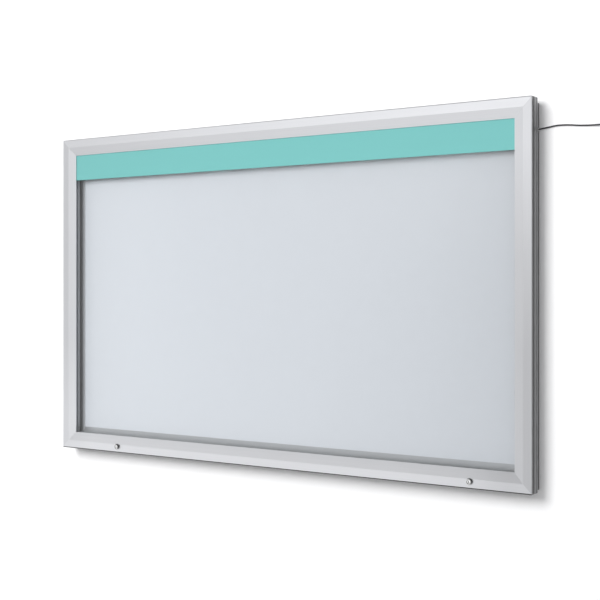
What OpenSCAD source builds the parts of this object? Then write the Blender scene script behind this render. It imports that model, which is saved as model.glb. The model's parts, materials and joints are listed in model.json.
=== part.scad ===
// Illuminated wall notice case: a shallow aluminium case, a top-hung glazed door on sliding stays,
// two cam locks and an LED bar behind a coloured header panel.
// X runs to the right, Z up, the wall is the plane Y = 0 and the door faces -Y. Sizes are in mm.

/* [Overall] */
// Width of the door frame, the widest part of the case
door_w = 1810; // [1500:10:2100]
// Height of the door frame
door_h = 1100; // [1000:10:1250]
// Depth from the wall to the flat front of the door
depth = 60; // [58:1:70]

/* [Door frame] */
// Width of the frame seen from the front
face_w = 57; // [54:1:62]
// Width of the flat outer band of the face
flat_w = 28; // [26:1:30]
// How far the bevel falls from the flat band to the glass
bevel_drop = 8.5; // [6:0.5:10]
// Thickness of the door frame from front to back
door_t = 36; // [35:0.5:37]
// Wall of the hollow door section
door_wall = 2; // [1.6:0.1:2.4]
// Thickness of the bevel's inner edge
nose_t = 2.5; // [2:0.1:3]
// Width of the hollow box behind the face
box_w = 44; // [42:0.5:45]
// Radius of the front outer edge
edge_r = 2.5; // [1:0.25:3.5]
// Radius of the four outer corners seen from the front
corner_r = 4; // [2:0.5:6]
// Depth of the fine grooves along the sides
groove_d = 0.6; // [0.3:0.1:0.8]

/* [Glazing] */
// Thickness of the glass
glass_t = 4; // [3:0.5:5]
// Thickness of the header panel and of the seal in front of the glass
front_seal_t = 1.5; // [1:0.1:2]
// Thickness of the seal behind the glass
rear_seal_t = 1.5; // [1:0.1:2]
// Height of the header panel that shows below the frame
header_h = 88; // [80:1:96]
// Thickness of the glazing bead's foot
bead_t = 3; // [2.5:0.1:3.5]
// Depth of the glazing bead's inner edge, which shows through the glass
bead_edge = 9; // [6:0.5:11]
// Gap between the edge of the glass and the frame
glass_gap = 2; // [1.5:0.1:2.5]

/* [Case] */
// How far the case stands back from the door's edge at the sides and the bottom
case_inset = 6; // [5:0.5:7]
// How far it stands back at the top, where the hinges are
case_top_inset = 12; // [11.5:0.5:13]
// Wall of the case section
case_wall = 2; // [1.8:0.1:2.2]
// Gap between the closed door and the case
door_gap = 1; // [0.9:0.1:1.4]
// Width of the channel section of the case
channel_w = 38; // [37:0.5:39]
// Width of the lip that covers the panel's edge
lip_w = 21.5; // [18:0.5:23]
// Thickness of the lip
lip_t = 2; // [1.6:0.1:2.4]
// How much higher the lip of the bottom rail stands than the other lips
sill_h = 8; // [4:0.5:12]
// Thickness of the back panel
panel_t = 1; // [0.8:0.1:1.5]
// Room between the back panel and the wall
recess = 12.5; // [12:0.5:13.5]

/* [Wall fixing] */
// Distance between the wall fixing holes along the width
fix_w = 1120; // [900:10:1200]
// Radius of the wall fixing holes
fix_r = 3.5; // [2.5:0.25:4]

/* [Hinges] */
// Distance of the outer hinges from the middle
hinge_x = 650; // [550:10:700]
// Length of one hinge
hinge_len = 80; // [60:2:100]
// Radius of the hinge knuckles
knuckle_r = 4; // [3.5:0.1:4.2]
// Radius of the hinge pins
pin_r = 2; // [1.5:0.1:2.2]
// How far the door opens, in degrees
door_open = 80; // [60:1:80]

/* [Door stays] */
// Distance of the stay arms from the side of the door
stay_u = 25; // [24.5:0.5:26]
// Length of a stay arm between its pins, also the distance of its door pivot from the hinge axis
stay_len = 300; // [285:5:320]
// Width of a stay arm
stay_w = 9; // [8:0.25:9.5]
// Thickness of a stay arm
stay_t = 3; // [2.5:0.1:3.2]
// Radius of the pins at the ends of a stay arm
stay_pin_r = 2.5; // [2:0.1:2.8]
// Width of the foot of a stay track
track_w = 12; // [11.5:0.1:12.2]

/* [Locks] */
// Distance of the left lock from the left edge of the door
lock_left = 263; // [220:1:300]
// Distance of the right lock from the right edge of the door
lock_right = 192; // [180:1:260]
// Height of the locks above the bottom edge of the door
lock_up = 20.5; // [20:0.5:21]
// Radius of the lock's head
lock_head_r = 10; // [9:0.25:10.5]
// How far the lock's head stands out
lock_head_t = 7; // [6:0.25:8]
// Height of the straight rim below the domed part of the head
lock_rim_t = 3; // [2:0.1:4]
// Radius of the turning plug
plug_r = 5.5; // [5:0.1:5.8]
// Length of the cam from the lock's axis
cam_len = 18; // [16:0.5:18.5]

/* [Light] */
// Distance of the LED bar's ends from the sides of the door
led_end_gap = 105; // [100:5:150]
// Distance between the LED chips
led_pitch = 40; // [30:5:60]

/* [Clearances] */
// Radial clearance of the turning pins, plugs and rods
run_fit = 0.05; // [0.03:0.01:0.1]
// Clearance between parts that sit inside each other
sit_gap = 0.3; // [0.2:0.05:0.4]
// Joint between mitred strips around the glass
mitre_gap = 0.2; // [0.1:0.05:0.4]

/* [Lead] */
// Radius of the low-voltage lead
lead_r = 2; // [1.5:0.1:2]

/* [Hidden] */
$fn = 48;
tiny = 0.01;
far = 400;

// planes across the depth, as Y
front = -depth;
door_back = front + door_t;
case_front = door_back + door_gap;
lip_back = front + bevel_drop + nose_t;
glass_y = lip_back + front_seal_t;
glass_back = glass_y + glass_t;
bead_y = glass_back + rear_seal_t;
panel_front = -recess - panel_t;
lip_front = panel_front - lip_t;
floor_y = -case_wall;

// sizes across the frame
glass_u = box_w + glass_gap;
case_w = door_w - 2 * case_inset;
case_h = door_h - case_inset - case_top_inset;
case_z = (case_inset - case_top_inset) / 2;
case_top = door_h / 2 - case_top_inset;
case_bottom = -door_h / 2 + case_inset;
panel_gap = 1;
panel_w = case_w - 2 * (channel_w + panel_gap);
panel_h = case_h - 2 * (channel_w + panel_gap);
lip_end = channel_w + lip_w;
glass_w = door_w - 2 * glass_u;
glass_h = door_h - 2 * glass_u;
header_low = door_h / 2 - face_w - header_h;
bevel_slope = bevel_drop / (face_w - flat_w);
bevel_off = door_wall * sqrt(1 + bevel_slope * bevel_slope);

// hinge axis
hinge_y = door_back + 6;
hinge_z = case_top + knuckle_r + 1;
door_plate_t = 1.6;
case_plate_t = 2.5;
hinge_xs = [-hinge_x, 0, hinge_x];
knuckle_gap = 0.4;
mid_knuckle = hinge_len / 2;

// door stays: arm and door pivot are equally far out, so the arm's other pin runs straight down the track
stay_x = door_w / 2 - stay_u;
stay_y = hinge_y;
stay_door_z = hinge_z - stay_len;
stay_low_z = hinge_z - 2 * stay_len;
stay_high_z = hinge_z - 2 * stay_len * cos(door_open);
stay_space = 3;
stay_eye_r = stay_w / 2 + 0.5;
track_x = stay_x + stay_t / 2 + stay_space;
track_t = 2.5;
track_end = 12;
lug_x = stay_x - stay_t / 2 - stay_space;
lug_t = 2.5;
lug_foot_x = door_w / 2 - box_w + 2.5;

// locks
lock_z = -door_h / 2 + lock_up;
lock_xs = [-door_w / 2 + lock_left, door_w / 2 - lock_right];
barrel_r = lock_head_r - 3;
nut_r = barrel_r + 2;
barrel_end = door_back + 4.5;
cam_y = barrel_end + sit_gap;
cam_t = 2;
cam_w = 12;
strike_u = case_inset + channel_w - case_wall;

// light
led_half = door_w / 2 - led_end_gap;
led_top = case_top - channel_w - 10;
led_t = 1.6;
led_front = lip_front - 18.5;
led_low = led_top - 14;
led_back = lip_front;
led_count = floor((2 * led_half - 20) / led_pitch);

// wall fixing holes, in the floor of the top and bottom channels
fix_z = case_top - 21;
fix_points = [for (x = [-1, 1]) for (z = [-1, 1]) [x * fix_w / 2, z * fix_z]];

// screws through the channel floor: corner plates and stay tracks
corner_arm = 55;
corner_in = 7;
corner_x = case_w / 2 - corner_in;
corner_w = 22;
corner_screws = [
    for (x = [-1, 1])
    for (z = [[case_top - corner_in, -1], [case_bottom + corner_in, 1]])
    for (k = [[40, corner_w / 2], [corner_w / 2, 40]])
    [x * (corner_x - k[0]), z[0] + z[1] * k[1]]
];
track_screws = [
    for (x = [-1, 1])
    for (z = [stay_low_z, (stay_low_z + stay_high_z) / 2, stay_high_z])
    [x * (track_x + track_w - 5), z]
];
floor_screws = concat(corner_screws, track_screws);
lug_screws = [
    for (x = [-1, 1])
    for (z = [-18, 18])
    [x * (lug_foot_x + lug_x - lug_t) / 2, stay_door_z + z]
];
hinge_screw_xs = [for (h = hinge_xs) for (s = [-1, 1]) h + s * hinge_len * 0.32];
hinge_case_screw_y = hinge_y + 11;
hinge_door_screw_z = hinge_z + 2.5;
screw_r = 2;
small_screw_r = 1.5;

// lead: round route points behind the panel and along the wall
lead_x = door_w / 2 - 87;
slot_z = door_h / 2 - 87;
slot_w = 7;
slot_d = 6;
clamp_x = lead_x - 24;
coil_x = lead_x - 78;
coil_z = slot_z - 51;
coil_out = 33;
coil_pitch = 4.7;
coil_turns = 4;
coil_y1 = -8;
coil_y2 = -3.4;
lead_z = coil_z + coil_out;
inner_route = [
    [led_half + 3, -23.5, led_top - 8],
    [led_half + 9, -23.5, led_top - 8],
    [lead_x - 3, -23.5, led_top - 12],
    [lead_x, -23, led_top - 20],
    [lead_x, -21.5, lead_z + 8],
    [lead_x, -18.5, lead_z + 1],
    [lead_x, -15, lead_z],
    [lead_x, -10.5, lead_z],
    [lead_x - 2, -6.5, lead_z],
    [lead_x - 7, -5, lead_z],
    [lead_x - 12, -5, lead_z],
    [clamp_x - 10, -5, lead_z]
];
lead_in_route = [
    [clamp_x - 10, -5, lead_z],
    [clamp_x - 14, -5, lead_z],
    [clamp_x - 24, -5.5, lead_z],
    [coil_x + 20, -7, lead_z],
    [coil_x + 9, -8, lead_z],
    [coil_x + 4, -8, lead_z]
];
tail_route = [
    [coil_x + 4, -3.4, coil_z - coil_out],
    [coil_x + 8, -3.4, coil_z - coil_out],
    [coil_x + 30, -3.2, coil_z - 34],
    [coil_x + 58, -3, coil_z - 26],
    [coil_x + 78, -3, coil_z - 6],
    [coil_x + 88, -3, coil_z + 20],
    [coil_x + 99, -2.8, coil_z + 42],
    [coil_x + 118, -2.4, slot_z],
    [coil_x + 140, -2.4, slot_z],
    [door_w / 2 - 6, -2.4, slot_z],
    [door_w / 2 + 25, -2.4, slot_z + 4],
    [door_w / 2 + 50, -2.4, slot_z + 7],
    [door_w / 2 + 80, -2.4, slot_z + 6],
    [door_w / 2 + 105, -2.4, slot_z + 3],
    [door_w / 2 + 130, -2.6, slot_z + 1],
    [door_w / 2 + 155, -3.6, slot_z],
    [door_w / 2 + 171, -5.2, slot_z],
    [door_w / 2 + 177, -5.5, slot_z],
    [door_w / 2 + 182, -5.5, slot_z]
];
plug_at = tail_route[len(tail_route) - 1];

// a rectangle of a section: depth along the first axis, distance from the outer edge along the second
module strip(y0, y1, u0, u1) {
    translate([y0, u0])
        square([y1 - y0, u1 - u0]);
}

// what a rounded corner at the origin loses, with the material towards +x and +y
module corner_waste(r) {
    difference() {
        translate([-1, -1])
            square(r + 1);
        translate([r, r])
            circle(r);
    }
}

// a section along one side of a frame, mitred at both ends, with the outer corners rounded
module mitred(len, reach, round_r) {
    intersection() {
        rotate([90, 0, 90])
            linear_extrude(len, center = true)
                children();
        rotate([90, 0, 0])
            linear_extrude(far, center = true)
                difference() {
                    polygon([
                        [-len / 2, 0],
                        [len / 2, 0],
                        [len / 2 - reach, reach],
                        [-len / 2 + reach, reach]
                    ]);
                    if (round_r > 0) {
                        translate([-len / 2, 0])
                            corner_waste(round_r);
                        translate([len / 2, 0])
                            mirror([1, 0])
                                corner_waste(round_r);
                    }
                }
    }
}

// turns a bottom rail into any side: 0 bottom, 90 left, 180 top, 270 right
module side_at(angle, half) {
    rotate([0, angle, 0])
        translate([0, 0, -half])
            children();
}

// four strips around the glass, with a fine joint at each mitre
module all_sides(w, h, reach) {
    for (angle = [0, 180])
        side_at(angle, h / 2)
            mitred(w - mitre_gap, reach, 0)
                children();
    for (angle = [90, 270])
        side_at(angle, w / 2)
            mitred(h - mitre_gap, reach, 0)
                children();
}

module left_right() {
    children();
    mirror([1, 0, 0])
        children();
}

module along_y(r, y0, y1) {
    translate([0, y0, 0])
        rotate([-90, 0, 0])
            cylinder(r = r, h = y1 - y0);
}

module along_x(r, x0, x1) {
    translate([x0, 0, 0])
        rotate([0, 90, 0])
            cylinder(r = r, h = x1 - x0);
}

module block(x0, x1, y0, y1, z0, z1) {
    translate([x0, y0, z0])
        cube([x1 - x0, y1 - y0, z1 - z0]);
}

// a pan-head screw along -Z, with the underside of its head at z = 0
module screw(r, shank) {
    cylinder(r = r * 1.75, h = r);
    translate([0, 0, -shank])
        cylinder(r = r, h = shank + tiny);
}

// Door frame

module door_section() {
    groove_ys = [front + 10, front + 13, front + 27, front + 30];
    difference() {
        polygon([
            [front, 0],
            [front, flat_w],
            [front + bevel_drop, face_w],
            [lip_back, face_w],
            [lip_back, box_w],
            [door_back, box_w],
            [door_back, 0]
        ]);
        polygon([
            [front + door_wall, door_wall],
            [front + door_wall, flat_w + (door_wall - bevel_off) / bevel_slope],
            [front + bevel_off + (box_w - door_wall - flat_w) * bevel_slope, box_w - door_wall],
            [door_back - door_wall, box_w - door_wall],
            [door_back - door_wall, door_wall]
        ]);
        translate([front, 0])
            corner_waste(edge_r);
        translate([door_back, 0])
            mirror([1, 0])
                corner_waste(1.5);
        for (y = groove_ys)
            strip(y, y + 1.2, -1, groove_d);
    }
}

module door_rail(angle, half, len) {
    color("silver")
        side_at(angle, half)
            mitred(len, face_w + 1, corner_r)
                door_section();
}

module door_top_rail() {
    difference() {
        door_rail(180, door_h / 2, door_w);
        for (x = hinge_screw_xs)
            translate([x, 0, hinge_door_screw_z])
                along_y(small_screw_r + run_fit, door_back - 6, door_back + 1);
    }
}

module door_bottom_rail() {
    difference() {
        door_rail(0, door_h / 2, door_w);
        for (x = lock_xs)
            translate([x, 0, lock_z])
                along_y(barrel_r + run_fit, front - 1, door_back + 1);
    }
}

module door_stile(angle) {
    difference() {
        door_rail(angle, door_w / 2, door_h);
        for (p = lug_screws)
            translate([p[0], 0, p[1]])
                along_y(small_screw_r + run_fit, door_back - 6, door_back + 1);
    }
}

module door_left_stile() {
    door_stile(90);
}

module door_right_stile() {
    door_stile(270);
}

module door_corner_keys() {
    key_in = door_wall + 1;
    key_w = box_w - 2 * door_wall - 2;
    arm = 90;
    color("dimgray")
        left_right()
            for (z = [-1, 1])
                mirror([0, 0, z < 0 ? 0 : 1])
                    translate([-door_w / 2 + key_in, door_back - door_wall - sit_gap, -door_h / 2 + key_in])
                        rotate([90, 0, 0])
                            linear_extrude(door_t - 2 * door_wall - bevel_drop)
                                union() {
                                    square([arm, key_w]);
                                    square([key_w, arm]);
                                }
}

// Glazing

module glass_pane() {
    color("lightcyan", 0.35)
        block(-glass_w / 2, glass_w / 2, glass_y, glass_back, -glass_h / 2, glass_h / 2);
}

module rear_glazing_seals() {
    color("black")
        all_sides(door_w, door_h, face_w)
            strip(glass_back, bead_y, glass_u, face_w - 0.5);
}

// these end below the header panel, which lies in the same groove
module front_glazing_seals() {
    seal_in = glass_u + 0.5;
    seal_top = header_low - 0.5;
    color("black") {
        left_right()
            block(
                door_w / 2 - face_w + 0.5,
                door_w / 2 - seal_in,
                lip_back,
                glass_y,
                -door_h / 2 + seal_in,
                seal_top
            );
        block(
            -door_w / 2 + face_w,
            door_w / 2 - face_w,
            lip_back,
            glass_y,
            -door_h / 2 + seal_in,
            -door_h / 2 + face_w - 0.5
        );
    }
}

module glazing_beads() {
    bead_wall = 1.6;
    bead_leg = 15;
    color("gray")
        all_sides(door_w, door_h, face_w + 1)
            union() {
                strip(bead_y, bead_y + bead_t, box_w, face_w);
                strip(bead_y, bead_y + bead_leg, box_w, box_w + bead_wall);
                strip(bead_y, bead_y + bead_edge, face_w - bead_wall, face_w);
            }
}

module setting_blocks() {
    color("black")
        left_right()
            block(
                door_w / 4 - 30,
                door_w / 4 + 30,
                glass_y,
                glass_back,
                -door_h / 2 + box_w,
                -door_h / 2 + glass_u
            );
}

module header_panel() {
    color("mediumaquamarine")
        block(-glass_w / 2, glass_w / 2, lip_back, glass_y, header_low, glass_h / 2);
}

module door_seals() {
    seal_t = door_gap - sit_gap;
    seal_w = 4;
    out = 1.5;
    side_x = case_w / 2 + out;
    top_z = case_top + out;
    low_z = case_bottom - out;
    color("black") {
        block(-side_x, side_x, door_back, door_back + seal_t, top_z - seal_w, top_z);
        block(-side_x, side_x, door_back, door_back + seal_t, low_z, low_z + seal_w);
        left_right()
            block(
                side_x - seal_w,
                side_x,
                door_back,
                door_back + seal_t,
                low_z + seal_w + 0.1,
                top_z - seal_w - 0.1
            );
    }
}

// Case

module case_section() {
    flange_y = -recess + 0.2;
    strip(case_front, 0, 0, case_wall);
    strip(floor_y, 0, 0, channel_w);
    strip(lip_front, 0, channel_w - case_wall, channel_w);
    strip(lip_front, panel_front, channel_w - case_wall, lip_end);
    strip(flange_y, flange_y + 1.5, channel_w - case_wall, channel_w + 6);
}

module case_rail(angle, half, len) {
    color("silver")
        translate([0, 0, case_z])
            side_at(angle, half)
                mitred(len, lip_end + 1, corner_r)
                    case_section();
}

module floor_holes() {
    for (p = floor_screws)
        translate([p[0], 0, p[1]])
            along_y(screw_r + run_fit, floor_y - 1, 1);
    for (p = fix_points)
        translate([p[0], 0, p[1]])
            along_y(fix_r, floor_y - 1, 1);
}

module case_top_rail() {
    difference() {
        case_rail(180, case_h / 2, case_w);
        floor_holes();
        for (x = hinge_screw_xs)
            translate([x, hinge_case_screw_y, case_top - 5])
                cylinder(r = screw_r + run_fit, h = 10);
        for (x = led_screw_xs())
            translate([x, 0, led_top - 6])
                along_y(small_screw_r + run_fit, lip_front - 1, lip_front + lip_t + 0.5);
    }
}

module case_bottom_rail() {
    lip_z = case_bottom + lip_end;
    sill_x = case_w / 2 - lip_end - mitre_gap;
    difference() {
        union() {
            case_rail(0, case_h / 2, case_w);
            color("silver")
                block(-sill_x, sill_x, lip_front, panel_front, lip_z - tiny, lip_z + sill_h);
        }
        floor_holes();
        for (x = lock_xs)
            for (s = [-8, 8])
                translate([x + s, -9, case_bottom + channel_w - 4])
                    cylinder(r = screw_r + run_fit, h = 6);
    }
}

module case_left_stile() {
    difference() {
        case_rail(90, case_w / 2, case_h);
        floor_holes();
    }
}

module case_right_stile() {
    difference() {
        case_rail(270, case_w / 2, case_h);
        floor_holes();
        block(
            case_w / 2 - channel_w - 8,
            case_w / 2 + 1,
            -slot_d,
            1,
            slot_z - slot_w / 2,
            slot_z + slot_w / 2
        );
    }
}

module case_corner_plates() {
    plate_t = 2;
    color("lightgray")
        difference() {
            left_right()
                for (z = [[case_bottom + corner_in, 0], [case_top - corner_in, 1]])
                    translate([-corner_x, floor_y, z[0]])
                        mirror([0, 0, z[1]])
                            rotate([90, 0, 0])
                                linear_extrude(plate_t)
                                    union() {
                                        square([corner_arm, corner_w]);
                                        square([corner_w, corner_arm]);
                                    }
            for (p = corner_screws)
                translate([p[0], 0, p[1]])
                    along_y(screw_r + run_fit, floor_y - 3, floor_y + 1);
        }
}

module back_panel() {
    color("whitesmoke")
        difference() {
            translate([0, 0, case_z])
                block(-panel_w / 2, panel_w / 2, panel_front, -recess, -panel_h / 2, panel_h / 2);
            translate([lead_x, 0, lead_z])
                along_y(lead_r + 2, panel_front - 1, -recess + 1);
        }
}

module panel_battens() {
    batten_w = 40;
    batten_h = panel_h - 40;
    color("gainsboro")
        for (x = [-1, 0, 1])
            translate([x * door_w / 4, 0, case_z])
                block(-batten_w / 2, batten_w / 2, -recess, 0, -batten_h / 2, batten_h / 2);
}

// Hinges

module hinge_case_leaves() {
    plate_y = hinge_y + knuckle_r + 0.6;
    end_len = (hinge_len - mid_knuckle) / 2 - knuckle_gap;
    color("lightgray")
        difference() {
            for (x = hinge_xs)
                translate([x, 0, 0]) {
                    block(
                        -hinge_len / 2,
                        hinge_len / 2,
                        plate_y,
                        -case_wall,
                        case_top,
                        case_top + case_plate_t
                    );
                    left_right() {
                        block(
                            hinge_len / 2 - end_len,
                            hinge_len / 2,
                            hinge_y,
                            plate_y + 1,
                            case_top,
                            hinge_z - 0.5
                        );
                        translate([0, hinge_y, hinge_z])
                            along_x(knuckle_r, hinge_len / 2 - end_len, hinge_len / 2);
                    }
                }
            for (x = hinge_xs)
                translate([x, hinge_y, hinge_z])
                    along_x(pin_r + run_fit, -hinge_len, hinge_len);
            for (x = hinge_screw_xs)
                translate([x, hinge_case_screw_y, case_top - 1])
                    cylinder(r = screw_r + run_fit, h = 10);
        }
}

module hinge_door_leaves() {
    color("lightgray")
        difference() {
            for (x = hinge_xs)
                translate([x, 0, 0]) {
                    block(
                        -hinge_len / 2,
                        hinge_len / 2,
                        door_back,
                        door_back + door_plate_t,
                        hinge_z - 3,
                        hinge_z + 6
                    );
                    block(
                        -mid_knuckle / 2,
                        mid_knuckle / 2,
                        door_back,
                        hinge_y,
                        hinge_z - 2,
                        hinge_z + 2
                    );
                    translate([0, hinge_y, hinge_z])
                        along_x(knuckle_r, -mid_knuckle / 2, mid_knuckle / 2);
                }
            for (x = hinge_xs)
                translate([x, hinge_y, hinge_z])
                    along_x(pin_r + run_fit, -hinge_len, hinge_len);
            for (x = hinge_screw_xs)
                translate([x, 0, hinge_door_screw_z]) {
                    along_y(small_screw_r + run_fit, door_back - 1, door_back + 3);
                    along_y(small_screw_r * 2 + run_fit, door_back + 0.8, door_back + 3);
                }
        }
}

module hinge_pins() {
    color("gray")
        for (x = hinge_xs)
            translate([x, hinge_y, hinge_z])
                along_x(pin_r, -hinge_len / 2 - 1, hinge_len / 2 + 1);
}

// Door stays

// angle track with a slot for the runner, screwed to the channel floor
module stay_tracks() {
    slot_r = stay_pin_r + 0.15;
    low_z = stay_low_z - track_end;
    high_z = stay_high_z + track_end;
    color("lightgray")
        difference() {
            left_right() {
                block(track_x, track_x + track_t, case_front, floor_y, low_z, high_z);
                block(track_x, track_x + track_w, floor_y - 2, floor_y, low_z, high_z);
            }
            left_right() {
                block(
                    track_x - 1,
                    track_x + track_t + 1,
                    stay_y - slot_r,
                    stay_y + slot_r,
                    stay_low_z,
                    stay_high_z
                );
                for (z = [stay_low_z, stay_high_z])
                    translate([0, stay_y, z])
                        along_x(slot_r, track_x - 1, track_x + track_t + 1);
            }
            for (p = track_screws)
                translate([p[0], 0, p[1]])
                    along_y(screw_r + run_fit, floor_y - 3, floor_y + 1);
        }
}

// folded lug on the back of the door stile
module stay_lugs() {
    foot_z = 26;
    lug_r = 6;
    color("lightgray")
        difference() {
            left_right() {
                block(
                    lug_foot_x,
                    lug_x,
                    door_back,
                    door_back + 1.6,
                    stay_door_z - foot_z,
                    stay_door_z + foot_z
                );
                block(
                    lug_x - lug_t,
                    lug_x,
                    door_back,
                    stay_y,
                    stay_door_z - lug_r,
                    stay_door_z + lug_r
                );
                translate([0, stay_y, stay_door_z])
                    along_x(lug_r - tiny, lug_x - lug_t, lug_x);
            }
            left_right()
                translate([0, stay_y, stay_door_z])
                    along_x(stay_pin_r + run_fit, lug_x - lug_t - 1, lug_x + 1);
            for (p = lug_screws)
                translate([p[0], 0, p[1]]) {
                    along_y(small_screw_r + run_fit, door_back - 1, door_back + 3);
                    along_y(small_screw_r * 2 + run_fit, door_back + 0.8, door_back + 3);
                }
        }
}

// shouldered pivot: rivet head behind the lug, collar, running seat for the arm's eye, head
module stay_pivots() {
    arm_in = stay_x - stay_t / 2 - sit_gap;
    arm_out = stay_x + stay_t / 2 + sit_gap;
    head_r = stay_pin_r + 1.5;
    color("gray")
        left_right()
            translate([0, stay_y, stay_door_z]) {
                along_x(head_r, lug_x - lug_t - 1.2, lug_x - lug_t);
                along_x(stay_pin_r, lug_x - lug_t - tiny, arm_out);
                along_x(head_r, lug_x, arm_in);
                along_x(head_r, arm_out - tiny, arm_out + 1.4);
            }
}

// flat arm with an eye at each end
module stay_arm(s) {
    color("silver")
        translate([s * stay_x - stay_t / 2, stay_y, stay_low_z])
            rotate([90, 0, 90])
                linear_extrude(stay_t)
                    difference() {
                        union() {
                            translate([-stay_w / 2, 0])
                                square([stay_w, stay_len]);
                            for (z = [0, stay_len])
                                translate([0, z])
                                    circle(stay_eye_r);
                        }
                        for (z = [0, stay_len])
                            translate([0, z])
                                circle(stay_pin_r + run_fit);
                    }
}

// pin of the arm's lower end: rivet head, friction washer, shank through the slot, keeping head
module stay_runner(s) {
    arm_in = stay_x - stay_t / 2;
    arm_out = stay_x + stay_t / 2;
    keep_x = track_x + track_t + sit_gap;
    color("gray")
        mirror([s < 0 ? 1 : 0, 0, 0])
            translate([0, stay_y, stay_low_z]) {
                along_x(stay_pin_r + 1.5, arm_in - 1.2, arm_in);
                along_x(stay_pin_r, arm_in - tiny, keep_x + tiny);
                along_x(stay_eye_r, arm_out, track_x - sit_gap);
                along_x(stay_eye_r, keep_x, keep_x + 2);
            }
}

// Locks

// domed head on a threaded barrel; the dome falls from a flat ring round the plug to a straight rim
module lock_housings() {
    ring_r = plug_r + 1;
    dome_r = lock_head_r - ring_r;
    dome_t = lock_head_t - lock_rim_t;
    dome = [for (a = [0:10:90]) [ring_r + dome_r * cos(a), lock_rim_t + dome_t * sin(a)]];
    color("gainsboro")
        for (x = lock_xs)
            translate([x, 0, lock_z])
                difference() {
                    union() {
                        translate([0, front, 0])
                            rotate([90, 0, 0])
                                rotate_extrude()
                                    polygon(concat([[0, 0], [lock_head_r, 0]], dome, [[0, lock_head_t]]));
                        along_y(barrel_r, front - tiny, barrel_end);
                    }
                    along_y(plug_r + run_fit, front - lock_head_t - 1, barrel_end + 1);
                }
}

module lock_nuts() {
    color("gray")
        for (x = lock_xs)
            translate([x, 0, lock_z])
                difference() {
                    translate([0, door_back, 0])
                        rotate([-90, 0, 0])
                            cylinder(r = nut_r, h = nut_r / 2 - 1, $fn = 6);
                    along_y(barrel_r + run_fit, door_back - 1, door_back + 8);
                }
}

module lock_plug(i) {
    square_w = 7;
    key_w = 1.6;
    key_h = 7;
    color("gainsboro")
        translate([lock_xs[i], 0, lock_z])
            difference() {
                union() {
                    along_y(plug_r, front - lock_head_t + 0.5, barrel_end);
                    block(
                        -square_w / 2,
                        square_w / 2,
                        barrel_end - tiny,
                        cam_y + cam_t + 0.2,
                        -square_w / 2,
                        square_w / 2
                    );
                }
                block(
                    -key_w / 2,
                    key_w / 2,
                    front - lock_head_t - 1,
                    front + 6,
                    -key_h / 2,
                    key_h / 2
                );
                along_y(2.5 + run_fit, cam_y - 12, cam_y + 6);
            }
}

// the cam points to the middle of the door when it is unlocked
module lock_cam(i) {
    s = i == 0 ? 1 : -1;
    color("gray")
        translate([lock_xs[i], 0, lock_z])
            difference() {
                union() {
                    along_y(8, cam_y, cam_y + cam_t);
                    block(
                        s > 0 ? 0 : -cam_len,
                        s > 0 ? cam_len : 0,
                        cam_y,
                        cam_y + cam_t,
                        -cam_w / 2,
                        cam_w / 2
                    );
                }
                block(-3.55, 3.55, cam_y - 1, cam_y + cam_t + 1, -3.55, 3.55);
            }
}

module lock_bolt(i) {
    head_y = cam_y + cam_t + 0.2;
    color("gray")
        translate([lock_xs[i], 0, lock_z]) {
            translate([0, head_y, 0])
                rotate([-90, 0, 0])
                    cylinder(r = 5, h = 3, $fn = 6);
            along_y(2.5, cam_y - 10, head_y + tiny);
        }
}

module lock_strikes() {
    tab_y = door_back + 1.5;
    strike_t = 2;
    wall_z = -door_h / 2 + strike_u;
    color("lightgray")
        difference() {
            for (x = lock_xs)
                translate([x, 0, 0]) {
                    block(-14, 14, tab_y, -5, wall_z - strike_t, wall_z);
                    block(-14, 14, tab_y, tab_y + strike_t, wall_z - 10, wall_z);
                }
            for (x = lock_xs)
                for (s = [-8, 8])
                    translate([x + s, -9, wall_z - 5])
                        cylinder(r = screw_r + run_fit, h = 10);
        }
}

// Screws

module case_screws() {
    color("silver") {
        for (x = hinge_screw_xs)
            translate([x, hinge_case_screw_y, case_top + case_plate_t])
                screw(screw_r, 6);
        for (p = floor_screws)
            translate([p[0], floor_y - 2, p[1]])
                rotate([90, 0, 0])
                    screw(screw_r, 3.6);
        for (x = lock_xs)
            for (s = [-8, 8])
                translate([x + s, -9, -door_h / 2 + strike_u - 2])
                    rotate([180, 0, 0])
                        screw(screw_r, 5);
    }
}

module door_screws() {
    color("silver") {
        for (x = hinge_screw_xs)
            translate([x, 0, hinge_door_screw_z]) {
                along_y(small_screw_r * 2, door_back + 0.8, door_back + door_plate_t);
                along_y(small_screw_r, door_back - 5, door_back + 0.8 + tiny);
            }
        for (p = lug_screws)
            translate([p[0], 0, p[1]]) {
                along_y(small_screw_r * 2, door_back + 0.8, door_back + 1.6);
                along_y(small_screw_r, door_back - 5, door_back + 0.8 + tiny);
            }
    }
}

// Light

function led_screw_xs() = [for (k = [-2:2]) k * led_half * 0.45];

module led_channel() {
    color("silver")
        difference() {
            union() {
                block(-led_half, led_half, led_back - led_t, led_back, led_low - 4, led_top);
                block(-led_half, led_half, led_front, led_back, led_top - led_t, led_top);
                block(-led_half, led_half, led_front, led_front + led_t, led_low, led_top);
            }
            for (x = led_screw_xs())
                translate([x, 0, led_top - 6])
                    along_y(small_screw_r + run_fit, led_back - 3, led_back + 1);
        }
}

module led_end_caps() {
    color("lightgray")
        difference() {
            left_right()
                block(led_half, led_half + 3, led_front, led_back, led_low - 4, led_top);
            translate([0, -23.5, led_top - 8])
                along_x(lead_r + sit_gap, led_half - 1, led_half + 5);
        }
}

module led_board() {
    color("white")
        block(
            -led_half + 4,
            led_half - 4,
            led_front + 4,
            led_back - 4,
            led_top - 2 * led_t,
            led_top - led_t
        );
}

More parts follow.
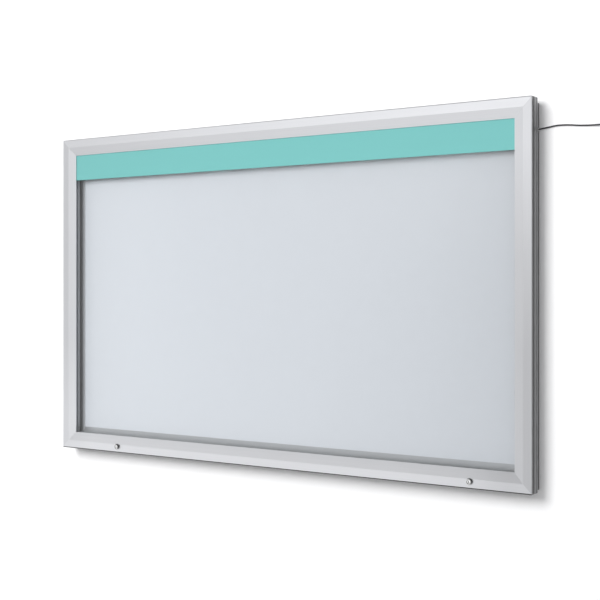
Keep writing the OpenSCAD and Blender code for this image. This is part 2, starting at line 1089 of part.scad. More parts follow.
module led_chips() {
    chip = 5;
    mid_y = (led_front + led_back) / 2;
    color("khaki")
        for (k = [0:led_count - 1])
            translate([(k - (led_count - 1) / 2) * led_pitch, 0, 0])
                block(
                    -chip / 2,
                    chip / 2,
                    mid_y - chip / 2,
                    mid_y + chip / 2,
                    led_top - 2 * led_t - 1.4,
                    led_top - 2 * led_t
                );
}

module led_diffuser() {
    color("white")
        block(
            -led_half,
            led_half,
            led_front + led_t,
            led_back - led_t,
            led_low,
            led_low + 1.5
        );
}

module led_screws() {
    color("silver")
        for (x = led_screw_xs())
            translate([x, led_back - led_t, led_top - 6])
                rotate([90, 0, 0])
                    screw(small_screw_r, 3.4);
}

// Lead

// a smooth run through route points, n steps to a span
function curve(a, b, c, d, t) =
    0.5 * (2 * b + (c - a) * t + (2 * a - 5 * b + 4 * c - d) * t * t
    + (3 * b - a - 3 * c + d) * t * t * t);
function smooth(p, n) = [
    for (i = [0:len(p) - 2])
        for (k = [0:n - 1])
            curve(p[max(i - 1, 0)], p[i], p[i + 1], p[min(i + 2, len(p) - 1)], k / n),
    p[len(p) - 1]
];
function unit(v) = v / norm(v);
function tangent(p, i) = unit(p[min(i + 1, len(p) - 1)] - p[max(i - 1, 0)]);
function ring(c, t, r, sides, ref) =
    let (a = unit(cross(t, ref)), b = cross(a, t))
    [for (k = [0:sides - 1]) c + r * (cos(360 * k / sides) * a + sin(360 * k / sides) * b)];
function run_length(p) = len(p) < 2 ? 0 : sum_steps([for (i = [1:len(p) - 1]) norm(p[i] - p[i - 1])]);
function sum_steps(v) = v * [for (x = v) 1];

module tube(p, r, sides, ref) {
    last = len(p) - 1;
    points = [for (i = [0:last]) each ring(p[i], tangent(p, i), r, sides, ref)];
    faces = concat(
        [[for (k = [0:sides - 1]) k]],
        [
            for (i = [0:last - 1])
                for (k = [0:sides - 1])
                    let (a = i * sides + k, b = i * sides + (k + 1) % sides)
                    each [[a, a + sides, b], [b, a + sides, b + sides]]
        ],
        [[for (k = [sides - 1:-1:0]) last * sides + k]]
    );
    polyhedron(points, faces);
}

// two layers: in at a steady rate, over to the next layer in the half turn where it reverses, out again
coil_in = coil_turns * 360;
coil_all = 2 * coil_in + 180;
coil_low = coil_out - coil_pitch * (coil_turns + 0.25);
function coil_radius(a) = coil_low + coil_pitch * abs(a - coil_in - 90) / 360;
function coil_depth(a) =
    let (t = min(max((a - coil_in) / 180, 0), 1))
    coil_y1 + (coil_y2 - coil_y1) * t;
function coil_point(a) = [
    coil_x + coil_radius(a) * cos(90 + a),
    coil_depth(a),
    coil_z + coil_radius(a) * sin(90 + a)
];
coil_path = concat(
    [[coil_x + 4, coil_y1, lead_z]],
    [for (a = [0:15:coil_all]) coil_point(a)],
    [[coil_x + 4, coil_y2, coil_z - coil_out]]
);
coil_gap = min([
    for (i = [0:len(coil_path) - 1])
        for (j = [i + 12:1:len(coil_path) - 1])
            norm(coil_path[i] - coil_path[j])
]) - 2 * lead_r;
lead_in_path = smooth(lead_in_route, 2);
tail_path = smooth(tail_route, 3);
cord_length = run_length(lead_in_path) + run_length(coil_path) + run_length(tail_path);
echo(coil_gap = coil_gap, cord_length = cord_length);
echo(stay_travel = stay_high_z - stay_low_z);

module inner_lead() {
    color("dimgray")
        tube(smooth(inner_route, 2), lead_r, 8, [1, 1, 1]);
}

module cord_lead_in() {
    color("dimgray")
        tube(lead_in_path, lead_r, 8, [0, 1, 0]);
}

module cord_coil() {
    color("dimgray")
        tube(coil_path, lead_r, 6, [0, 1, 0]);
}

module cord_tail() {
    color("dimgray")
        tube(tail_path, lead_r, 8, [0, 1, 0]);
}

module cord_tie() {
    in_x = coil_x - coil_out - lead_r - sit_gap;
    out_x = coil_x - coil_low + lead_r + sit_gap;
    in_y = coil_y1 - lead_r - sit_gap;
    out_y = coil_y2 + lead_r + sit_gap;
    band = 0.8;
    color("black")
        difference() {
            block(in_x - band, out_x + band, in_y - band, out_y + band, coil_z - 3, coil_z + 3);
            block(in_x, out_x, in_y, out_y, coil_z - 4, coil_z + 4);
        }
}

module cord_connector() {
    color("black")
        translate(plug_at)
            rotate([0, 90, 0])
                rotate_extrude()
                    polygon([[0, 0], [3.2, 0], [3.6, 12], [5, 14], [5, 40], [0, 40]]);
}

module cord_barrel() {
    color("silver")
        translate([plug_at[0] + 40, plug_at[1], plug_at[2]])
            difference() {
                along_x(2.75, 0, 9.5);
                along_x(1.25, 1, 12);
            }
}

module lead_grommet() {
    color("black")
        translate([lead_x, 0, lead_z])
            difference() {
                union() {
                    along_y(lead_r + 4, panel_front - 1.2, panel_front);
                    along_y(lead_r + 2 - run_fit, panel_front - tiny, -recess + tiny);
                    along_y(lead_r + 4, -recess, -recess + 1.2);
                }
                along_y(lead_r + sit_gap, panel_front - 3, -recess + 3);
            }
}

module lead_clamp() {
    color("black")
        difference() {
            block(clamp_x - 10, clamp_x + 4, -recess, -1.6, lead_z - 6, lead_z + 6);
            translate([0, -5, lead_z])
                along_x(lead_r + sit_gap, clamp_x - 12, clamp_x + 6);
        }
}

module lock_plug_left() {
    lock_plug(0);
}

module lock_plug_right() {
    lock_plug(1);
}

module lock_cam_left() {
    lock_cam(0);
}

module lock_cam_right() {
    lock_cam(1);
}

module lock_bolt_left() {
    lock_bolt(0);
}

module lock_bolt_right() {
    lock_bolt(1);
}

module stay_arm_left() {
    stay_arm(-1);
}

module stay_arm_right() {
    stay_arm(1);
}

module stay_runner_left() {
    stay_runner(-1);
}

module stay_runner_right() {
    stay_runner(1);
}

case_top_rail();
case_bottom_rail();
case_left_stile();
case_right_stile();
case_corner_plates();
back_panel();
panel_battens();
hinge_case_leaves();
hinge_pins();
stay_tracks();
lock_strikes();
case_screws();
led_channel();
led_end_caps();
led_board();
led_chips();
led_diffuser();
led_screws();
inner_lead();
lead_grommet();
lead_clamp();
cord_lead_in();
cord_coil();
cord_tail();
cord_tie();
cord_connector();
cord_barrel();
door_top_rail();
door_bottom_rail();
door_left_stile();
door_right_stile();
door_corner_keys();
glass_pane();
front_glazing_seals();
rear_glazing_seals();
glazing_beads();
setting_blocks();
header_panel();
door_seals();
hinge_door_leaves();
stay_lugs();
stay_pivots();
door_screws();
lock_housings();
lock_nuts();
lock_plug_left();
lock_cam_left();
lock_bolt_left();
lock_plug_right();
lock_cam_right();
lock_bolt_right();
stay_arm_left();
stay_runner_left();
stay_arm_right();
stay_runner_right();
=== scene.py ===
import json
import math

import bmesh
import bpy
from mathutils import Matrix, Vector


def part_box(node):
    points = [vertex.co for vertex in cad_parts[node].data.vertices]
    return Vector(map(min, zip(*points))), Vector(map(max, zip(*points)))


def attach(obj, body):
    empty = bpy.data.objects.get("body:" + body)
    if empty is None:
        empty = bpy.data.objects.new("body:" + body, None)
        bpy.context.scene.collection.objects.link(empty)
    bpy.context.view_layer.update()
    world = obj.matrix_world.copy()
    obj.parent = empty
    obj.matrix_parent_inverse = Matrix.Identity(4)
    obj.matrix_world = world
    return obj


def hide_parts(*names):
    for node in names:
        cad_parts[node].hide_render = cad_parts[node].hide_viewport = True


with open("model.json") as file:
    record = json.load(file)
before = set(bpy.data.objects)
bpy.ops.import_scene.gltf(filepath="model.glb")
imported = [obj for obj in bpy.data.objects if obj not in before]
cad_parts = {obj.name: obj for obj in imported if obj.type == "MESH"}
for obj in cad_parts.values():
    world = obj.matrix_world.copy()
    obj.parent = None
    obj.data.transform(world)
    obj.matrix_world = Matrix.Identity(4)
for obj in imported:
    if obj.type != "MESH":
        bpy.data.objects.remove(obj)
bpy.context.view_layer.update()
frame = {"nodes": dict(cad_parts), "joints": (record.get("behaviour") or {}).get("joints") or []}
cad_nodes = frame["nodes"]
scene = bpy.context.scene
scene.view_settings.view_transform = "Standard"


# Camera
# It stands to the right of the case, level with its middle, about four metres from the wall.
# A long lens keeps the frame's sides upright, and a small shift sets the case above the middle.
camera = bpy.data.objects.new("camera", bpy.data.cameras.new("camera"))
camera.location = (2.2791, -3.1793, 0.0181)
camera.rotation_euler = (math.pi / 2, 0, 0.6035)
camera.data.sensor_width = 36
camera.data.lens = 73.08
camera.data.shift_y = -0.01875
scene.collection.objects.link(camera)
scene.camera = camera


# Low-voltage lead
# A thin round lead in dark grey plastic with a moulded plug. It leaves its clip behind the back panel, where
# most of it is wound in two layers and tied, and the end comes out of the right stile along the wall.
# Its route is in millimetres, and the coil's turns are in degrees.
lead_radius = 0.002
lead_in = [(784, -5, 445), (780, -5, 445), (770, -5.5, 445), (760, -7, 445), (749, -8, 445), (744, -8, 445)]
lead_out = [
    (744, -3.4, 379), (748, -3.4, 379), (770, -3.2, 378), (798, -3, 386), (818, -3, 406),
    (828, -3, 432), (839, -2.8, 454), (858, -2.4, 463), (880, -2.4, 463), (899, -2.4, 463),
    (930, -2.4, 467), (955, -2.4, 470), (985, -2.4, 469), (1010, -2.4, 466), (1035, -2.6, 464),
    (1060, -3.6, 463), (1076, -5.2, 463), (1082, -5.5, 463), (1087, -5.5, 463),
]
coil_middle = (740, 412)
coil_inner, coil_pitch = 13.025, 4.7
coil_start, coil_half_way, coil_end, coil_step = 90, 1530, 3060, 15
front_layer_y, layer_gap = -8, 4.6
layer_change, layer_change_turn = 1440, 180


def add_node(tree, kind, inputs=None, **settings):
    """Adds a node to a tree, with its settings and the values of its inputs."""
    node = tree.nodes.new(kind)
    for name, value in settings.items():
        setattr(node, name, value)
    for name, value in (inputs or {}).items():
        node.inputs[name].default_value = value
    return node


def finish_of(name, dark, light, rough, grain, bump, metal=0.0, **more):
    """A finish whose colour, roughness and surface all follow one fine grain in the piece's own space."""
    mat = bpy.data.materials.new(name)
    mat.use_nodes = True
    tree = mat.node_tree
    shader = tree.nodes["Principled BSDF"]
    shader.inputs["Metallic"].default_value = metal
    for socket, value in more.items():
        shader.inputs[socket.replace("_", " ")].default_value = value
    if not isinstance(grain, tuple):
        grain = (grain, grain, grain)
    place = add_node(tree, "ShaderNodeTexCoord")
    stretch = add_node(tree, "ShaderNodeMapping", {"Scale": grain})
    noise = add_node(tree, "ShaderNodeTexNoise", {"Scale": 1.0, "Detail": 4.0})
    level = add_node(tree, "ShaderNodeMapRange", {"From Min": 0.3, "From Max": 0.7})
    tone = add_node(tree, "ShaderNodeMix", {"A": (*dark, 1), "B": (*light, 1)}, name="tone", data_type="RGBA")
    gloss = add_node(tree, "ShaderNodeMapRange", {"To Min": rough[0], "To Max": rough[1]})
    relief = add_node(tree, "ShaderNodeBump", {"Strength": bump, "Distance": 0.0002})
    link = tree.links.new
    link(place.outputs["Object"], stretch.inputs["Vector"])
    link(stretch.outputs["Vector"], noise.inputs["Vector"])
    link(noise.outputs["Fac"], level.inputs["Value"])
    link(level.outputs["Result"], tone.inputs["Factor"])
    link(level.outputs["Result"], gloss.inputs["Value"])
    link(noise.outputs["Fac"], relief.inputs["Height"])
    link(tone.outputs["Result"], shader.inputs["Base Color"])
    link(gloss.outputs["Result"], shader.inputs["Roughness"])
    link(relief.outputs["Normal"], shader.inputs["Normal"])
    return mat


def smooth_run(points, steps):
    """Points on a smooth curve through the route points, given in millimetres."""
    run = []
    last = len(points) - 1
    for i in range(last):
        a, b, c, d = (Vector(points[min(max(k, 0), last)]) for k in (i - 1, i, i + 1, i + 2))
        for k in range(steps):
            t = k / steps
            run.append(0.5 * (2 * b + (c - a) * t + (2 * a - 5 * b + 4 * c - d) * t * t
                              + (3 * b - a - 3 * c + d) * t ** 3))
    return [p / 1000 for p in run + [Vector(points[-1])]]


def coil_point(turned):
    """A point of the two-layer coil, which winds inwards at the back panel and outwards at the wall."""
    radius = coil_inner + coil_pitch * abs(turned - coil_half_way) / 360
    layer = min(max((turned - layer_change) / layer_change_turn, 0), 1)
    angle = math.radians(coil_start + turned)
    x = coil_middle[0] + radius * math.cos(angle)
    z = coil_middle[1] + radius * math.sin(angle)
    return Vector((x, front_layer_y + layer_gap * layer, z)) / 1000


def turn(bm, profile, foot, along, steps=40, ring=False):
    """Adds a turned shape to bm, of (radius, height) pairs from foot, closed as a ring or at its poles."""
    axes = Vector(along).to_track_quat("Z", "Y").to_matrix()
    angles = [2 * math.pi * k / steps for k in range(steps)]
    rows = []
    for radius, height in profile:
        spots = [(radius * math.cos(a), radius * math.sin(a), height) for a in angles]
        if radius == 0:
            spots = [(0, 0, height)]
        rows.append([bm.verts.new(Vector(foot) + axes @ Vector(spot)) for spot in spots])
    pairs = list(zip(rows, rows[1:]))
    if ring:
        pairs.append((rows[-1], rows[0]))
    for low, high in pairs:
        for k in range(steps):
            corners = [row[at % len(row)] for row, at in ((low, k), (low, k + 1), (high, k + 1), (high, k))]
            corners = list(dict.fromkeys(corners))
            if len(corners) > 2:
                bm.faces.new(corners)


def box(bm, low, high, bevel=0.0):
    """Adds a block to bm, with softened edges where a bevel is given."""
    middle = (Vector(low) + Vector(high)) / 2
    size = Vector(high) - Vector(low)
    place = Matrix.Translation(middle) @ Matrix.Diagonal((*size, 1))
    made = bmesh.ops.create_cube(bm, size=1, matrix=place)
    if bevel:
        edges = dict.fromkeys(e for v in made["verts"] for e in v.link_edges)
        bmesh.ops.bevel(bm, geom=list(edges), offset=bevel, segments=2, profile=0.5, affect="EDGES")


def settle(obj, mat, body, slot, *stands_for):
    """Gives a piece its material and its body, and hides the nodes that it stands for; the slot is not used.
    """
    if obj.name not in scene.collection.objects:
        scene.collection.objects.link(obj)
    obj.data.materials.clear()
    obj.data.materials.append(mat)
    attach(obj, body)
    if stands_for:
        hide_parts(*stands_for)
    return obj


def piece(name, bm, mat, body, slot, *stands_for):
    """Makes a finished piece of bm: outward faces, smooth where it is round, riding on its body."""
    bmesh.ops.recalc_face_normals(bm, faces=bm.faces)
    mesh = bpy.data.meshes.new(name)
    bm.to_mesh(mesh)
    bm.free()
    sharp_edge = math.radians(32)
    mesh.shade_smooth()
    mesh.set_sharp_from_angle(angle=sharp_edge)
    return settle(bpy.data.objects.new(name, mesh), mat, body, slot, *stands_for)


sheath = finish_of("lead_sheath", (0.030, 0.031, 0.033), (0.042, 0.043, 0.046), (0.42, 0.55), 400, 0.08)
moulded_black = finish_of("moulded_black", (0.012, 0.012, 0.013), (0.020, 0.020, 0.021), (0.38, 0.52),
                          700, 0.15)
plug_nickel = finish_of("plug_nickel", (0.60, 0.58, 0.54), (0.70, 0.68, 0.65), (0.18, 0.28), 900, 0.03, 1.0)

coil = [coil_point(turned) for turned in range(0, coil_end + 1, coil_step)]
route = [Vector(p) / 1000 for p in lead_in] + coil + smooth_run(lead_out, steps=2)
lead_line = bpy.data.curves.new("lead", "CURVE")
lead_line.dimensions = "3D"
lead_line.bevel_depth = lead_radius
lead_line.bevel_resolution = 3
lead_line.use_fill_caps = True
run = lead_line.splines.new("POLY")
run.points.add(len(route) - 1)
for at, p in zip(run.points, route):
    at.co = (*p, 1)
lead = settle(bpy.data.objects.new("lead", lead_line), sheath, "case", "lead_sheath",
              "cord_lead_in", "cord_coil", "cord_tail")

# The plug's strain relief is a row of moulded rings, and its grip has three finger grooves.
plug_foot = route[-1]
ring_count, ring_pitch, ring_r, ring_taper, ring_dip = 5, 0.0024, 0.0031, 0.0001, 0.0005
ring_end, dip_start, dip_end = 0.0012, 0.0014, 0.0022
relief_rings = []
for k in range(ring_count):
    start = ring_pitch * k
    crest = ring_r + ring_taper * k
    dip = crest - ring_dip
    relief_rings += [(crest, start), (crest, start + ring_end)]
    relief_rings += [(dip, start + dip_start), (dip, start + dip_end)]
grip_r, groove_r, plug_length = 0.005, 0.0045, 0.040
groove_count, first_groove, groove_pitch = 3, 0.020, 0.004
groove_floor, groove_floor_end, groove_end = 0.0006, 0.0018, 0.0024
grip = [(0.0036, 0.012), (0.0046, 0.0134), (grip_r, 0.0146)]
for k in range(groove_count):
    start = first_groove + groove_pitch * k
    grip += [(grip_r, start), (groove_r, start + groove_floor)]
    grip += [(groove_r, start + groove_floor_end), (grip_r, start + groove_end)]
grip += [(grip_r, 0.0388), (0.0047, 0.0397), (0.0042, plug_length), (0, plug_length)]
plug = bmesh.new()
turn(plug, [(0, 0)] + relief_rings + grip, plug_foot, (1, 0, 0))
lead_plug = piece("lead_plug", plug, moulded_black, "case", "black_plastic", "cord_connector")
barrel_out, barrel_bore, barrel_length = 0.00275, 0.00125, 0.0095
barrel_profile = [
    (barrel_out, 0), (barrel_out, 0.0087), (0.00255, 0.0093), (0.0022, barrel_length),
    (barrel_bore, barrel_length), (barrel_bore, 0),
]
barrel = bmesh.new()
turn(barrel, barrel_profile, plug_foot + Vector((plug_length, 0, 0)), (1, 0, 0), steps=28, ring=True)
lead_barrel = piece("lead_plug_barrel", barrel, plug_nickel, "case", "bright_steel", "cord_barrel")

# The tie is a nylon strap round one side of the coil, with its ratchet head and the cut end of its tongue.
strap_low, strap_high = (0.7047, -0.0103), (0.72928, -0.0011)
strap_t, strap_half, strap_round = 0.0008, 0.0026, 0.0016
strap_z = coil_middle[1] / 1000
tie_head = ((0.7005, -0.0086, 0.4086), (0.7049, -0.0040, 0.4154))
tie_tongue = ((0.7018, -0.0115, 0.4096), (0.7027, -0.0080, 0.4144))
corner_steps = 4
outline = []
for at_right, at_wall, start in ((1, 1, 0), (0, 1, 90), (0, 0, 180), (1, 0, 270)):
    round_x = strap_high[0] - strap_round if at_right else strap_low[0] + strap_round
    round_y = strap_high[1] - strap_round if at_wall else strap_low[1] + strap_round
    for k in range(corner_steps + 1):
        angle = math.radians(start + 90 * k / corner_steps)
        outline.append((round_x, round_y, math.cos(angle), math.sin(angle)))
strap = bmesh.new()
hoops = []
for out, up in ((0, -strap_half), (strap_t, -strap_half), (strap_t, strap_half), (0, strap_half)):
    reach = strap_round + out
    hoops.append([strap.verts.new((x + c * reach, y + s * reach, strap_z + up)) for x, y, c, s in outline])
for low, high in zip(hoops, hoops[1:] + hoops[:1]):
    for k in range(len(low)):
        strap.faces.new([low[k], low[k - 1], high[k - 1], high[k]])
box(strap, *tie_head, bevel=0.0004)
box(strap, *tie_tongue, bevel=0.0002)
lead_tie = piece("lead_tie", strap, moulded_black, "case", "black_plastic", "cord_tie")


# Wall, floor and light
# A plain white wall carries the case, over a pale floor below the picture. The wall is left open behind the
# case and lets a view from behind through. A lamp in front lights the case, a wide one high on the left
# lights the wall round its soft shadow, a third serves views of the back, and the room fills in.
wall_half_w, wall_low, wall_high, floor_front = 8.0, -1.6, 6.0, -8.0
back_low, back_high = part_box("case_bottom_rail")[0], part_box("case_top_rail")[1]
hidden_edge = 0.0005


def stage_plane(name, corners, faces, mat, mirrored=True):
    """A flat sheet of the stage, which metal and glass may mirror."""
    mesh = bpy.data.meshes.new(name)
    mesh.from_pydata(corners, [], faces)
    mesh.materials.append(mat)
    obj = bpy.data.objects.new(name, mesh)
    obj.visible_glossy = mirrored
    scene.collection.objects.link(obj)
    return obj


def white_paint(name, colour, glow, open_from_behind=False):
    """Matt paint that glows a little where it is seen or mirrored, and may be clear from behind."""
    mat = bpy.data.materials.new(name)
    mat.use_nodes = True
    tree = mat.node_tree
    tree.nodes.clear()
    link = tree.links.new
    paint = add_node(tree, "ShaderNodeBsdfDiffuse", {"Color": (*colour, 1)})
    path = add_node(tree, "ShaderNodeLightPath")
    seen = add_node(tree, "ShaderNodeMath", operation="MAXIMUM")
    seen_or_through = add_node(tree, "ShaderNodeMath", operation="MAXIMUM")
    strength = add_node(tree, "ShaderNodeMath", {1: glow}, operation="MULTIPLY")
    white = add_node(tree, "ShaderNodeEmission")
    surface = add_node(tree, "ShaderNodeAddShader")
    out = add_node(tree, "ShaderNodeOutputMaterial")
    link(path.outputs["Is Camera Ray"], seen.inputs[0])
    link(path.outputs["Is Glossy Ray"], seen.inputs[1])
    link(seen.outputs[0], seen_or_through.inputs[0])
    link(path.outputs["Is Transmission Ray"], seen_or_through.inputs[1])
    link(seen_or_through.outputs[0], strength.inputs[0])
    link(strength.outputs[0], white.inputs["Strength"])
    link(paint.outputs[0], surface.inputs[0])
    link(white.outputs[0], surface.inputs[1])
    if open_from_behind:
        side = add_node(tree, "ShaderNodeNewGeometry")
        clear = add_node(tree, "ShaderNodeBsdfTransparent")
        choose = add_node(tree, "ShaderNodeMixShader")
        link(side.outputs["Backfacing"], choose.inputs[0])
        link(surface.outputs[0], choose.inputs[1])
        link(clear.outputs[0], choose.inputs[2])
        surface = choose
    link(surface.outputs[0], out.inputs["Surface"])
    return mat


left, right = back_low.x + hidden_edge, back_high.x - hidden_edge
low, high = back_low.z + hidden_edge, back_high.z - hidden_edge
wall = stage_plane(
    "wall",
    [(-wall_half_w, 0, wall_low), (wall_half_w, 0, wall_low), (wall_half_w, 0, wall_high),
     (-wall_half_w, 0, wall_high), (left, 0, low), (right, 0, low), (right, 0, high), (left, 0, high)],
    [(0, 1, 5, 4), (1, 2, 6, 5), (2, 3, 7, 6), (3, 0, 4, 7)],
    white_paint("wall_paint", (0.92, 0.92, 0.925), 0.07, open_from_behind=True),
)
stage_plane(
    "floor",
    [(-wall_half_w, floor_front, wall_low), (wall_half_w, floor_front, wall_low), (wall_half_w, 0, wall_low),
     (-wall_half_w, 0, wall_low)],
    [(0, 1, 2, 3)],
    white_paint("floor_paint", (0.24, 0.24, 0.242), 0.6),
    mirrored=False,
)


def lamp(name, place, aim, size, power, lit, colour=(1.0, 1.0, 1.0)):
    """A soft rectangular lamp that lights the objects of one collection and isn't seen itself."""
    data = bpy.data.lights.new(name, "AREA")
    data.shape = "RECTANGLE"
    data.size, data.size_y = size
    data.energy = power
    data.color = colour
    obj = bpy.data.objects.new(name, data)
    obj.location = place
    obj.rotation_euler = (Vector(aim) - Vector(place)).to_track_quat("-Z", "Y").to_euler()
    obj.visible_glossy = obj.visible_camera = False
    obj.light_linking.receiver_collection = lit
    scene.collection.objects.link(obj)


case_only = bpy.data.collections.new("lit_case")
wall_only = bpy.data.collections.new("lit_wall")
for lit in (case_only, wall_only):
    lit.objects.link(wall)
case_only.collection_objects[0].light_linking.link_state = "EXCLUDE"
lamp("key_lamp", (-1.0, -6.0, 1.3), (-1.85, -5.0, -0.1), (2.8, 4.0), 536, case_only, (1.0, 0.995, 0.985))
lamp("wall_lamp", (-3.1, -10.2, 5.4), (0.0, 0.0, 0.0), (6.4, 6.4), 1270, wall_only)
lamp("back_lamp", (0.0, 6.0, 1.5), (0.0, 0.0, 0.0), (4.0, 3.0), 210, case_only)

# Metal and glass show the room as a plain white, brightest where the lamps' screens would stand, with its
# dark side to the front right and overhead.
room = bpy.data.worlds.new("room")
scene.world = room
room.use_nodes = True
room.cycles.sampling_method = "NONE"
room_tree = room.node_tree
room_tree.nodes.clear()
room_link = room_tree.links.new
way = add_node(room_tree, "ShaderNodeTexCoord")
parts = add_node(room_tree, "ShaderNodeSeparateXYZ")
room_link(way.outputs["Generated"], parts.inputs[0])


def fade(source, start, end, at_start, at_end):
    """A level that changes smoothly from one value to another as the source goes from start to end."""
    levels = {"From Min": start, "From Max": end, "To Min": at_start, "To Max": at_end}
    node = add_node(room_tree, "ShaderNodeMapRange", levels, interpolation_type="SMOOTHSTEP")
    room_link(source, node.inputs["Value"])
    return node.outputs["Result"]


def screen(azimuth, height, spread, low, high):
    """Light from round one direction, in degrees left of straight ahead and above the horizon."""
    a, h = math.radians(azimuth), math.radians(height)
    towards = (-math.sin(a) * math.cos(h), -math.cos(a) * math.cos(h), math.sin(h))
    near = add_node(room_tree, "ShaderNodeVectorMath", {1: towards}, operation="DOT_PRODUCT")
    room_link(way.outputs["Generated"], near.inputs[0])
    return fade(near.outputs["Value"], math.cos(math.radians(spread)), 1.0, low, high)


def joined(kind, one, two):
    """Two levels joined by an operation."""
    node = add_node(room_tree, "ShaderNodeMath", operation=kind)
    room_link(one, node.inputs[0])
    room_link(two, node.inputs[1])
    return node.outputs[0]


main_screen = (17, 10, 25, 0.80, 1.52)
more_screens = (
    (64, -2, 22, 0.48), (20, -5, 15, -0.52), (18, 32, 27, -0.71), (6, -6, 18, 0.46),
    (20, -28, 20, 0.12), (46, -28, 18, -0.18), (21, 11, 13, 0.22), (30, -14, 14, 0.18),
)
screens = screen(*main_screen)
for azimuth, height, spread, more in more_screens:
    screens = joined("ADD", screens, screen(azimuth, height, spread, 0.0, more))
sides = fade(parts.outputs["X"], -0.10, 0.25, 1.0, 0.10)
sides = joined("MAXIMUM", sides, fade(parts.outputs["Y"], 0.1, 0.4, 0.0, 0.9))
for start, end, left_over in ((0.36, 0.66, 0.15), (-0.5, -0.8, 0.6)):
    sides = joined("MULTIPLY", sides, fade(parts.outputs["Z"], start, end, 1.0, left_over))
fill = add_node(room_tree, "ShaderNodeBackground", {"Color": (0.985, 0.99, 1.0, 1)})
room_link(fade(parts.outputs["Z"], -0.4, 0.4, 0.05, 0.70), fill.inputs["Strength"])
mirrored = add_node(room_tree, "ShaderNodeBackground", {"Color": (1, 1, 1, 1)})
room_link(joined("MULTIPLY", screens, sides), mirrored.inputs["Strength"])
seen_white = add_node(room_tree, "ShaderNodeBackground", {"Color": (1, 1, 1, 1)})
path = add_node(room_tree, "ShaderNodeLightPath")
in_gloss = add_node(room_tree, "ShaderNodeMixShader")
in_view = add_node(room_tree, "ShaderNodeMixShader")
world_out = add_node(room_tree, "ShaderNodeOutputWorld")
room_link(path.outputs["Is Glossy Ray"], in_gloss.inputs[0])
room_link(fill.outputs[0], in_gloss.inputs[1])
room_link(mirrored.outputs[0], in_gloss.inputs[2])
room_link(path.outputs["Is Camera Ray"], in_view.inputs[0])
room_link(in_gloss.outputs[0], in_view.inputs[1])
room_link(seen_white.outputs[0], in_view.inputs[2])
room_link(in_view.outputs[0], world_out.inputs["Surface"])


# Case frame
# Four aluminium channels, extruded, mitred and anodised to a silver satin, with the fine lines of the die
# along each length. Their ribbed outer sides are painted a darker grey as shade, with a dark line of painted
# shadow next to the door, and the top and bottom channels are painted darker than the two sides as shade.
case_sides = (0.899, 0.5379)
front_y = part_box("door_top_rail")[0].y
# Painted shade for the case's outer sides by depth, with a dark line of painted shadow close behind the door.
case_side_shade = ((-0.0300, 0.52), (-0.0088, 0.58), (-0.0078, 0.03), (-0.0050, 0.03), (-0.0040, 0.25))


def dress(mat, *names):
    """Gives carried CAD nodes their finish."""
    for name in names:
        for own in cad_nodes[name].material_slots:
            own.material = mat


def set_stops(ramp, stops):
    """Sets the stops of a colour ramp, each a place from 0 to 1 and a colour."""
    own = ramp.color_ramp.elements
    while len(own) < len(stops):
        own.new(0.5)
    for stop, (at, colour) in zip(own, stops):
        stop.position = at
        stop.color = (*colour, 1)


def paint_shading(mat, axis, *stops):
    """Paints light and shade into the tone of a finish along an axis, by stops of a place and the share of
    the tone there.
    """
    tree = mat.node_tree
    link = tree.links.new
    tone = tree.nodes["tone"].outputs["Result"]
    users = [old.to_socket for old in tone.links]
    first, last = stops[0][0], stops[-1][0]
    place = add_node(tree, "ShaderNodeTexCoord")
    split = add_node(tree, "ShaderNodeSeparateXYZ")
    along = add_node(tree, "ShaderNodeMapRange", {"From Min": first, "From Max": last})
    shares = add_node(tree, "ShaderNodeValToRGB")
    set_stops(shares, [((at - first) / (last - first), (share, share, share)) for at, share in stops])
    shade = add_node(tree, "ShaderNodeMix", {"Factor": 1.0}, data_type="RGBA", blend_type="MULTIPLY")
    link(place.outputs["Object"], split.inputs[0])
    link(split.outputs[axis.upper()], along.inputs["Value"])
    link(along.outputs["Result"], shares.inputs["Fac"])
    link(tone, shade.inputs["A"])
    link(shares.outputs["Color"], shade.inputs["B"])
    for user in users:
        link(shade.outputs["Result"], user)
    return mat


def anodised(name, along, sides, light, side_grey, metal=1.0, rim=0.0012):
    """Satin aluminium with the lines of the die along it, and painted shade on its outer sides, a grey set by
    their depth.
    """
    across_lines, along_lines, blend = 420.0, 3.0, 0.0008
    grain = tuple(along_lines if axis == along else across_lines for axis in "xyz")
    tint, dark_share = (0.985, 0.995, 1.03), 0.965
    dark, pale = [tuple(light * share * part for part in tint) for share in (dark_share, 1.0)]
    mat = finish_of(name, dark, pale, (0.30, 0.38), grain, 0.05, metal)
    tree = mat.node_tree
    link = tree.links.new
    place = add_node(tree, "ShaderNodeTexCoord")
    split = add_node(tree, "ShaderNodeSeparateXYZ")
    link(place.outputs["Object"], split.inputs[0])
    either = add_node(tree, "ShaderNodeMath", operation="MAXIMUM")
    for k, (axis, side) in enumerate(zip("XZ", sides)):
        from_middle = add_node(tree, "ShaderNodeMath", operation="ABSOLUTE")
        edge = add_node(tree, "ShaderNodeMapRange", {"From Min": side - rim, "From Max": side - rim + blend})
        link(split.outputs[axis], from_middle.inputs[0])
        link(from_middle.outputs[0], edge.inputs["Value"])
        link(edge.outputs[0], either.inputs[k])
    depth = add_node(tree, "ShaderNodeMapRange", {"From Min": front_y, "From Max": 0.0})
    side_shade_tone = add_node(tree, "ShaderNodeValToRGB")
    set_stops(side_shade_tone, [(1 - y / front_y, (grey, grey * 1.005, grey * 1.025)) for y, grey in side_grey])
    side_shaded = add_node(tree, "ShaderNodeMix", data_type="RGBA")
    link(split.outputs["Y"], depth.inputs["Value"])
    link(depth.outputs[0], side_shade_tone.inputs["Fac"])
    link(either.outputs[0], side_shaded.inputs["Factor"])
    link(tree.nodes["tone"].outputs["Result"], side_shaded.inputs["A"])
    link(side_shade_tone.outputs["Color"], side_shaded.inputs["B"])
    link(side_shaded.outputs["Result"], tree.nodes["Principled BSDF"].inputs["Base Color"])
    return mat
